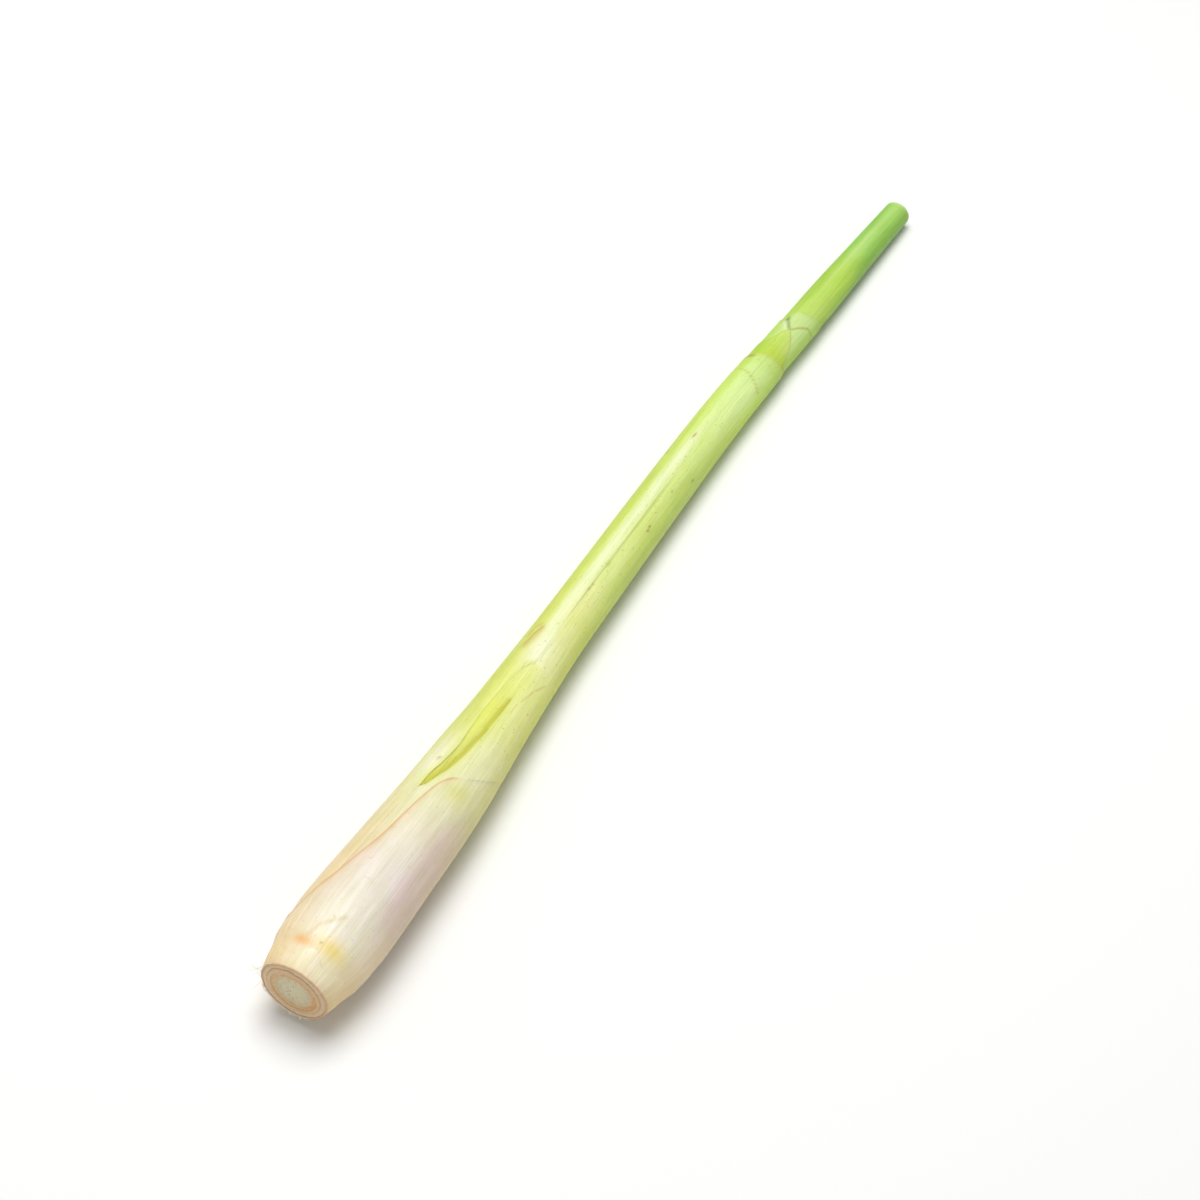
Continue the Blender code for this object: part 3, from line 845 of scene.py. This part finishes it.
def second_surface(along, turn):
    """Radii of the rolled sheet's two faces, turn degrees on from its upper margin.

    It lies on the third sheath, and beside its upper margin on its own tucked edge, which fades out.
    Past a whole turn it is under its own upper margin, pressed thin.
    """
    size = degree(along)
    span = 360 - open_angle(along)
    angle = through(LOWER_MARGIN, along) + through(WINDOW_ANGLE, along) + turn
    at_top = wall(SECOND_WALL, along, round_the_stalk(SECOND_TOP, angle) - along, SOFT_EDGE)
    thickness = np.minimum(wall(SECOND_WALL, along, turn * size, MARGIN_SOFT, UPPER_LIP),
                           wall(SECOND_WALL, along, (span - turn) * size, MARGIN_SOFT, LOWER_LIP))
    thickness = np.minimum(thickness, at_top)
    thickness = thickness + (1 - eased(along, *MARGINS_PART)) * (through(SECOND_WALL, along) - thickness)
    overlap = closed(along)
    tucked = wall(SECOND_WALL, along, TUCK_ANGLE * overlap * size, MARGIN_SOFT, LOWER_LIP)
    step = np.minimum(tucked, at_top) - UPPER_LIP + SEAM_STEP * within(along, SEAM_SHOWN)
    over_tuck = overlap * step * (1 - eased(turn, 0, TUCK_ANGLE * 1.5))
    clear = clear_of(OUTER_TOP, along, angle)
    swell = through(OUTER_WALL, along) - wall(OUTER_WALL, along, clear, OUTER_SOFT)
    settled = eased(np.minimum(turn, span - turn) * size, 0, MARGIN_TOUCHES)
    inside = third_skin(along, angle) + gap(along, settled) + over_tuck
    under = overlap * eased(turn, *TUCK_STARTS)
    thickness = (thickness + swell) * (1 - TUCK_PRESSED * under)
    return inside, inside + thickness + (1 - under) * waves(along, angle, *SECOND_RIDGES)


def second_tissue(along, angle, turn):
    """Bands from cream to green, painted shade down the sides and on the far and near sides, a lit strip beside
    the seam, a painted shadow line along the seam, thin margins and marks.
    """
    colour = side_shaded(banded(SECOND_TINTS, along), along, angle)
    # Painted shade on the far side above the window.
    shade, share, middle, across, stretch = FAR_SIDE_SHADE
    colour = dyed(colour, shade, share * within(arc(along, angle, middle), across) * eased(along, *stretch))
    colour = marked(colour, along, angle, CREAM_CLOUDS)
    # Painted shade on the near side beyond the seam.
    shade, share, middle, across, stretch = NEAR_SIDE_SHADE
    colour = dyed(colour, shade, share * within(along, stretch) * eased(arc(along, angle, middle), *across))
    shade, share, stretch, middle, width = LIT_STRIP
    colour = dyed(colour, shade, share * within(along, stretch) * np.exp(-(((turn - middle) / width) ** 2)))
    colour = marked(colour, along, angle, LOWER_MARKS)
    # Painted shadow line along the seam.
    shade, share, middle, width = SEAM_SHADOW_LINE
    from_seam = (np.mod(turn + 180, 360) - 180) * degree(along)
    line = within(along, SEAM_SHOWN) * np.exp(-(((from_seam - middle) / width) ** 2))
    colour = dyed(colour, shade, share * line)
    shade, share, opening, reach = THIN_MARGIN
    from_margin = np.minimum(turn, 360 - open_angle(along) - turn) * degree(along)
    thin = eased(through(WINDOW_ANGLE, along), *opening) * faded(from_margin, reach)
    colour = dyed(colour, shade, share * thin)
    colour = marked(colour, along, angle, UPPER_MARKS)
    shade, share, reach = TORN_TOP
    colour = dyed(colour, shade, share * np.exp(-(round_the_stalk(SECOND_TOP, angle) - along) / reach))
    colour = dyed(colour, SECOND_CUT, eased(along, *CUT_SHOWN))
    return with_wear(colour, SECOND_WEAR * eased(along, *WEAR_STARTS))


def make_second_sheath():
    """A rolled sheet with a closed section: outside from the upper margin to the lower one, and inside back.

    The first and last rows are the flat ends, a little narrower than the wall and closed by a strip of faces.
    """
    share = np.linspace(0, 1, SECOND_COLUMNS)
    section = np.concatenate([share, [1], share[::-1], [0]])
    depth = np.concatenate([0 * share, [0.5], 0 * share + 1, [0.5]])
    outwards = MARGIN_BULGE * np.concatenate([0 * share, [1], 0 * share, [-1]])
    nominal = np.linspace(0, np.mean([top for _, top in SECOND_TOP]), SECOND_ROWS)[:, None]
    turn = section * (360 - open_angle(nominal)) + outwards
    angle = through(LOWER_MARGIN, nominal) + through(WINDOW_ANGLE, nominal) + turn
    along = nominal * round_the_stalk(SECOND_TOP, angle) / nominal[-1]
    inside, outside = second_surface(along, np.clip(turn, 0, 360 + TUCK_ANGLE))
    thickness = outside - inside
    radius = outside - depth * thickness
    bottom, top = (radius[row] - (0.5 - depth) * END_BEVEL * thickness[row] for row in (0, -1))
    radius = np.concatenate([[bottom], radius, [top]])
    along = np.concatenate([along[:1] - SECOND_ENDS[0], along, along[-1:] + SECOND_ENDS[1]])
    angle = np.concatenate([angle[:1], angle, angle[-1:]])
    turn = np.concatenate([turn[:1], turn, turn[-1:]])
    rows, columns = along.shape
    strip = np.arange(SECOND_COLUMNS)
    facing = 2 * SECOND_COLUMNS - strip
    cap = np.stack([strip[:-1], strip[1:], facing[1:], facing[:-1]], axis=-1)
    margins = np.array([[SECOND_COLUMNS - 1, SECOND_COLUMNS, SECOND_COLUMNS + 1],
                        [2 * SECOND_COLUMNS, 2 * SECOND_COLUMNS + 1, 0]])
    to_top = (rows - 1) * columns
    faces = [grid(rows, columns, False, True), cap[:, ::-1], margins[:, ::-1], cap + to_top, margins + to_top]
    finish = leaf_finish("pale green leaf", veins=0.03, wrinkles=0.06, gloss=0.65, flesh=0.15)
    shades = second_tissue(along, angle, turn)
    return piece("rolled_sheath", [along, angle], radius, faces, shades, finish)


second = make_second_sheath()
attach(second, "root")
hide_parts("second_sheath")

# --- Outer sheath -------------------------------------------------------------------------------------------
# The thick ivory leaf base round the bulb, blushed with mauve. Its free edge sweeps up the bulb from the far
# side, dried to a thin tan line, and fades away where it crosses the near side.

OUTER_BASE = 0.12
OUTER_RIDGES = (0.05, (6, 11, 17, 29), 2.5)
THIN_MIDDLE = 20  # the free edge is thinnest round this angle, by this share, over this reach
THIN_SPREAD = (60, 30)
THIN_SHARE = 0.85
THIN_REACH = 3
SEAM_BRIDGED = (335, 360)

OUTER_TINTS = [
    (0, (242, 228, 196)), (5, (248, 236, 208)), (12, (244, 236, 220)), (20, (240, 232, 219)),
    (30, (238, 228, 219)), (38, (238, 229, 212)), (44, (237, 228, 204)), (50, (235, 231, 198)),
    (56, (235, 234, 194)), (63, (236, 236, 190)), (70, (236, 237, 186)),
]  # fmt: skip

# Mauve blush down the near side: shade, share, stretch, and the angles where it ends underneath.
BLUSH = ((214, 178, 186), 0.42, (14, 24, 44, 60), (-20, 10))
BLUSH_EDGE = [(15, 52), (45, 54), (54, 40), (60, 28)]  # the angle where it starts, along the stalk
BLUSH_SOFT = 12
BLUSH_STREAKS = (0.2, (13, 22, 35), 2.0)

# The free edge is dried from one angle to another, tan at the margin with a paler halo below it.
DRIED_FROM = 62
DRIED_SPAN = (0, 16, 150, 250)
HALO = ((230, 194, 146), 0.5, 1.4, (14, 24))  # shade, share, reach and where it starts
MARGIN = ((216, 166, 108), 0.85, 0.55)  # shade, share and width
MARGIN_STREAKS = (0.2, (5, 9, 14), 3.0)

YELLOW_PATCH = ((226, 218, 110), 0.5, 56.5, 56, 3.4, 2.6)
OUTER_MARKS = [
    ((244, 190, 126), 0.95, 6.6, 101, 1.1, 2.4),
    ((250, 228, 152), 0.95, 7.6, 62, 1.9, 3.8),
    ((150, 110, 70), 0.6, 7.6, 78, 0.25, 0.3),
    ((222, 206, 160), 0.55, [(8, 98), (11, 92), (15, 72)], 0.55),
    ((226, 198, 160), 0.5, [(54, 101), (57, 101)], 0.6),
]
OUTER_CUT = (230, 200, 166)
OUTER_WEAR = 0.25


def under_outer(along, angle):
    """The surface that the outer sheath lies on: the second sheath, with the step at its seam bridged."""
    turn = np.mod(angle - through(LOWER_MARGIN, along) - through(WINDOW_ANGLE, along), 360)
    surface = second_surface(along, turn)[1]
    return surface + SEAM_STEP * within(along, SEAM_SHOWN) * eased(turn, *SEAM_BRIDGED)


def outer_skin(along, angle):
    """Radius of the outer sheath, which fades to nothing where its free edge crosses the near side."""
    edge = clear_of(OUTER_TOP, along, angle)
    near_side = eased(np.abs(np.mod(angle - THIN_MIDDLE + 180, 360) - 180), *THIN_SPREAD)
    left = 1 - near_side * THIN_SHARE * faded(edge, THIN_REACH)
    thickness = wall(OUTER_WALL, along, edge, OUTER_SOFT)
    return under_outer(along, angle) + left * (GAP + thickness + waves(along, angle, *OUTER_RIDGES))


def outer_tissue(along, angle):
    """Ivory that turns yellow-green up the stalk with painted shade down the sides, a mauve blush, a dried
    margin and stains near the cut.
    """
    colour = side_shaded(banded(OUTER_TINTS, along), along, angle)
    shade, share, stretch, underneath = BLUSH
    near_angle = np.mod(angle + 120, 360) - 120
    blush = eased(through(BLUSH_EDGE, along) - near_angle, 0, BLUSH_SOFT) * eased(near_angle, *underneath)
    streaks = 1 - BLUSH_STREAKS[0] + waves(along, angle, *BLUSH_STREAKS)
    colour = dyed(colour, shade, share * blush * within(along, stretch) * streaks)
    colour = marked(colour, along, angle, [YELLOW_PATCH])
    edge = np.maximum(clear_of(OUTER_TOP, along, angle), 0)
    dried = within(np.mod(angle - DRIED_FROM, 360), DRIED_SPAN)
    shade, share, reach, stretch = HALO
    colour = dyed(colour, shade, share * dried * faded(edge, reach) * eased(along, *stretch))
    shade, share, width = MARGIN
    streaks = 1 - MARGIN_STREAKS[0] + waves(along, angle, *MARGIN_STREAKS)
    colour = dyed(colour, shade, share * dried * np.exp(-((edge / width) ** 2)) * streaks)
    colour = marked(colour, along, angle, OUTER_MARKS)
    return with_wear(dyed(colour, OUTER_CUT, eased(along, *CUT_SHOWN)), OUTER_WEAR)


outer = make_tube("ivory_sheath", OUTER_BASE, OUTER_TOP, outer_skin, under_outer, 300, 216, outer_tissue,
                  leaf_finish("ivory leaf base", veins=0.03, wrinkles=0.08, gloss=0.65, flesh=0.15))
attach(outer, "root")
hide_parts("outer_sheath")

# --- Torn stub ----------------------------------------------------------------------------------------------
# What is left of an older leaf, stripped off by hand: a thin collar of its base, torn to a ragged edge, that
# clings to the bulb just above the cut. It is a last, thin skin, tan where the knife went through it.

STUB_BASE = 0.1
STUB_WALL = [(0, 0.42), (6, 0.14)]
STUB_TOP = [(20, 5.5), (55, 3.5), (80, 6.0), (105, 3.0), (150, 5.0), (200, 2.5), (250, 4.5), (310, 3.0)]
STUB_LIP = 0.03
STUB_SLOPE = 0.12  # thickness gained per millimetre from the torn edge
STUB_RIDGES = (0.02, (12, 19, 31), 3.0)

STUB_TINTS = [(0, (216, 182, 146)), (0.5, (240, 224, 192)), (2, (246, 234, 204)), (6, (248, 237, 210))]
STUB_CUT = (216, 178, 144)
STUB_CUT_SHOWN = (0.35, 0.05)
FRAYED = (235, 6, 0.8)  # the cut is paler where it is frayed: angle, width and share
STUB_WEAR = 0.3


def stub_skin(along, angle):
    """Radius of the stub: the outer sheath's, a gap, a wedge that starts at the torn edge, and ridges."""
    wedge = STUB_LIP + STUB_SLOPE * np.maximum(clear_of(STUB_TOP, along, angle), 0)
    thickness = np.minimum(through(STUB_WALL, along), wedge)
    return outer_skin(along, angle) + GAP + thickness + waves(along, angle, *STUB_RIDGES)


def stub_tissue(along, angle):
    """Cream bands with painted shade down the sides, and tan on the cut except where it is frayed."""
    colour = side_shaded(banded(STUB_TINTS, along), along, angle)
    middle, width, share = FRAYED
    whole = 1 - share * spot(0, angle, 0, middle, 1, width)
    return with_wear(dyed(colour, STUB_CUT, eased(along, *STUB_CUT_SHOWN) * whole), STUB_WEAR)


stub = make_tube("torn_collar", STUB_BASE, STUB_TOP, stub_skin, outer_skin, 60, 288, stub_tissue,
                 leaf_finish("dried torn leaf", veins=0.04, wrinkles=0.05, gloss=0.4, flesh=0.08))
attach(stub, "root")
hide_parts("sheath_stub")

# --- Torn fibres --------------------------------------------------------------------------------------------
# Fibres of the stripped leaf that the knife dragged out of the cut's rim on its far side and below: a few
# long fine threads, and many short curled ends like lint. They are dry, dull and white, rooted in the rim.

# Groups of fibres: how many, first and last angle, least and most length, thickness, and outward bend.
FIBRE_GROUPS = [
    (9, 148, 200, 1.6, 3.4, 0.055, 0.75), (190, 200, 290, 0.4, 1.1, 0.11, 0.5),
    (24, 120, 200, 0.3, 0.7, 0.08, 0.45),
]  # fmt: skip
FIBRE_STEPS = 12
FIBRE_SIDES = 6
FIBRE_SEED = 5
FIBRE_TAPER = 0.85
FIBRE_ROOT = 0.45  # where a fibre starts, along the stalk
FIBRE_BURIED = 0.15  # how deep it starts under the stub's skin
FIBRE_TINT = (252, 246, 238)
FIBRE_WEAR = 0.1


def fibre_paths():
    """Middle lines and thicknesses. Each line leaves the rim forwards and outwards, and curls as a sine."""
    chance = np.random.default_rng(FIBRE_SEED)
    step = np.linspace(0, 1, FIBRE_STEPS)
    paths = []
    widths = []
    for count, start, end, shortest, longest, width, outwards in FIBRE_GROUPS:
        angle, length, lean, curl, phase = (
            chance.uniform(least, most, (count, 1))
            for least, most in ((start, end), (shortest, longest), (-0.5, 0.5), (-1, 1), (0, 6.3))
        )
        sway = curl * (np.sin(phase + 3.4 * step) - np.sin(phase))
        along = FIBRE_ROOT - length * step * (1 - outwards * step) - 0.12 * length * sway
        out = outwards * length * step * (0.7 + 0.5 * step) + 0.1 * length * sway
        radius = stub_skin(0.3, angle) - FIBRE_BURIED + out
        turned = angle + (lean * step + 0.35 * sway) * length / degree(0)
        paths.append(place(along, turned, radius))
        widths.append(np.broadcast_to(width * (1 - FIBRE_TAPER * step**2), along.shape))
    return np.concatenate(paths), np.concatenate(widths)


def make_fibres():
    """Thin tapering tubes: rings of points square to each middle line, closed by a fan at both ends."""
    path, width = fibre_paths()
    ahead = np.gradient(path, axis=1)
    ahead = ahead / np.linalg.norm(ahead, axis=-1, keepdims=True)
    beside = np.cross(ahead, (0.3, 0.2, 0.93))
    beside = beside / np.linalg.norm(beside, axis=-1, keepdims=True)
    above = np.cross(beside, ahead)
    turn = np.arange(FIBRE_SIDES) * 2 * np.pi / FIBRE_SIDES
    ring = beside[:, :, None] * np.cos(turn)[:, None] + above[:, :, None] * np.sin(turn)[:, None]
    tube = (path[:, :, None] + ring * width[:, :, None, None] * MM).reshape(len(path), -1, 3)
    points = np.concatenate([tube, path[:, :1], path[:, -1:]], axis=1)
    starts = np.arange(len(path))[:, None, None] * points.shape[1]
    faces = [(starts + part).reshape(-1, part.shape[1])
             for part in (grid(FIBRE_STEPS, FIBRE_SIDES, False, True), fans(FIBRE_STEPS, FIBRE_SIDES))]
    points = points.reshape(-1, 3)
    shades = with_wear(np.broadcast_to(tint(*FIBRE_TINT), points.shape), FIBRE_WEAR)
    finish = leaf_finish("dry white fibre", veins=0.01, wrinkles=0.01, gloss=0.2, flesh=0.05)
    return smooth_mesh("torn_fibres", points, faces, shades, points / MM, finish)


fibres = make_fibres()
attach(fibres, "root")
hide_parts("sheath_stub")

# --- Studio -------------------------------------------------------------------------------------------------
# A plain near-white floor under one big soft light overhead, with weak fill from the sides, and a long lens
# that looks down on the stalk from its base end.

FLOOR_SIZE = 4.0
FLOOR_TINT = (0.86, 0.86, 0.85, 1)
CAMERA_AROUND = 26.1
CAMERA_ABOVE = 48.8
CAMERA_DISTANCE = 755.0
CAMERA_TILT = 4.0  # turned about its own line of sight, as a hand-held camera is
AIM_ALONG = 128.4
AIM_HEIGHT = 6.0
LENS = 99.9
NEAREST = 0.01
# Lamps: place in metres, size and power.
LAMPS = {
    "overhead": ((-0.12, 0.1, 0.9), 0.6, 8.2),
    "side fill": ((-0.9, -0.3, 0.5), 0.7, 0.9),
    "front fill": ((0.5, -0.9, 0.45), 0.7, 1.6),
}
ROOM_TINT = (1.0, 1.0, 1.0, 1)
ROOM_STRENGTH = 0.30


def make_floor():
    """A level square, one face, at the height of the surface that the stalk lies on."""
    half = FLOOR_SIZE / 2
    corners = [(-half, -half, low.z), (half, -half, low.z), (half, half, low.z), (-half, half, low.z)]
    mesh = bpy.data.meshes.new("floor")
    mesh.from_pydata(corners, [], [(0, 1, 2, 3)])
    material = bpy.data.materials.new("matt white board")
    material.use_nodes = True
    shader = material.node_tree.nodes["Principled BSDF"]
    shader.inputs["Base Color"].default_value = FLOOR_TINT
    shader.inputs["Roughness"].default_value = 0.9
    shader.inputs["Specular IOR Level"].default_value = 0.1
    mesh.materials.append(material)
    made = bpy.data.objects.new("floor", mesh)
    bpy.context.scene.collection.objects.link(made)
    return made


def soft_light(name, place_of, size, power, target):
    """A square lamp in metres that faces a point."""
    lamp = bpy.data.lights.new(name, "AREA")
    lamp.size = size
    lamp.energy = power
    made = bpy.data.objects.new(name, lamp)
    made.location = place_of
    made.rotation_euler = (target - made.location).to_track_quat("-Z", "Y").to_euler()
    bpy.context.scene.collection.objects.link(made)


make_floor()
aim = (low + high) / 2
aim.y = low.y + AIM_ALONG * MM
aim.z = low.z + AIM_HEIGHT * MM
for lamp_name, (lamp_place, lamp_size, lamp_power) in LAMPS.items():
    soft_light(lamp_name, lamp_place, lamp_size, lamp_power, aim)

world = bpy.data.worlds.new("pale room")
world.use_nodes = True
world.node_tree.nodes["Background"].inputs["Color"].default_value = ROOM_TINT
world.node_tree.nodes["Background"].inputs["Strength"].default_value = ROOM_STRENGTH
bpy.context.scene.world = world
bpy.context.scene.view_settings.view_transform = "Standard"

around, above = np.radians([CAMERA_AROUND, CAMERA_ABOVE])
lens = bpy.data.cameras.new("long lens")
lens.lens = LENS
lens.clip_start = NEAREST
camera = bpy.data.objects.new("camera", lens)
camera.location = (
    aim.x + CAMERA_DISTANCE * MM * np.sin(around) * np.cos(above),
    aim.y - CAMERA_DISTANCE * MM * np.cos(around) * np.cos(above),
    aim.z + CAMERA_DISTANCE * MM * np.sin(above),
)
level = (aim - camera.location).to_track_quat("-Z", "Y")
camera.rotation_euler = (level @ Quaternion((0, 0, 1), np.radians(CAMERA_TILT))).to_euler()
bpy.context.scene.collection.objects.link(camera)
bpy.context.scene.camera = camera
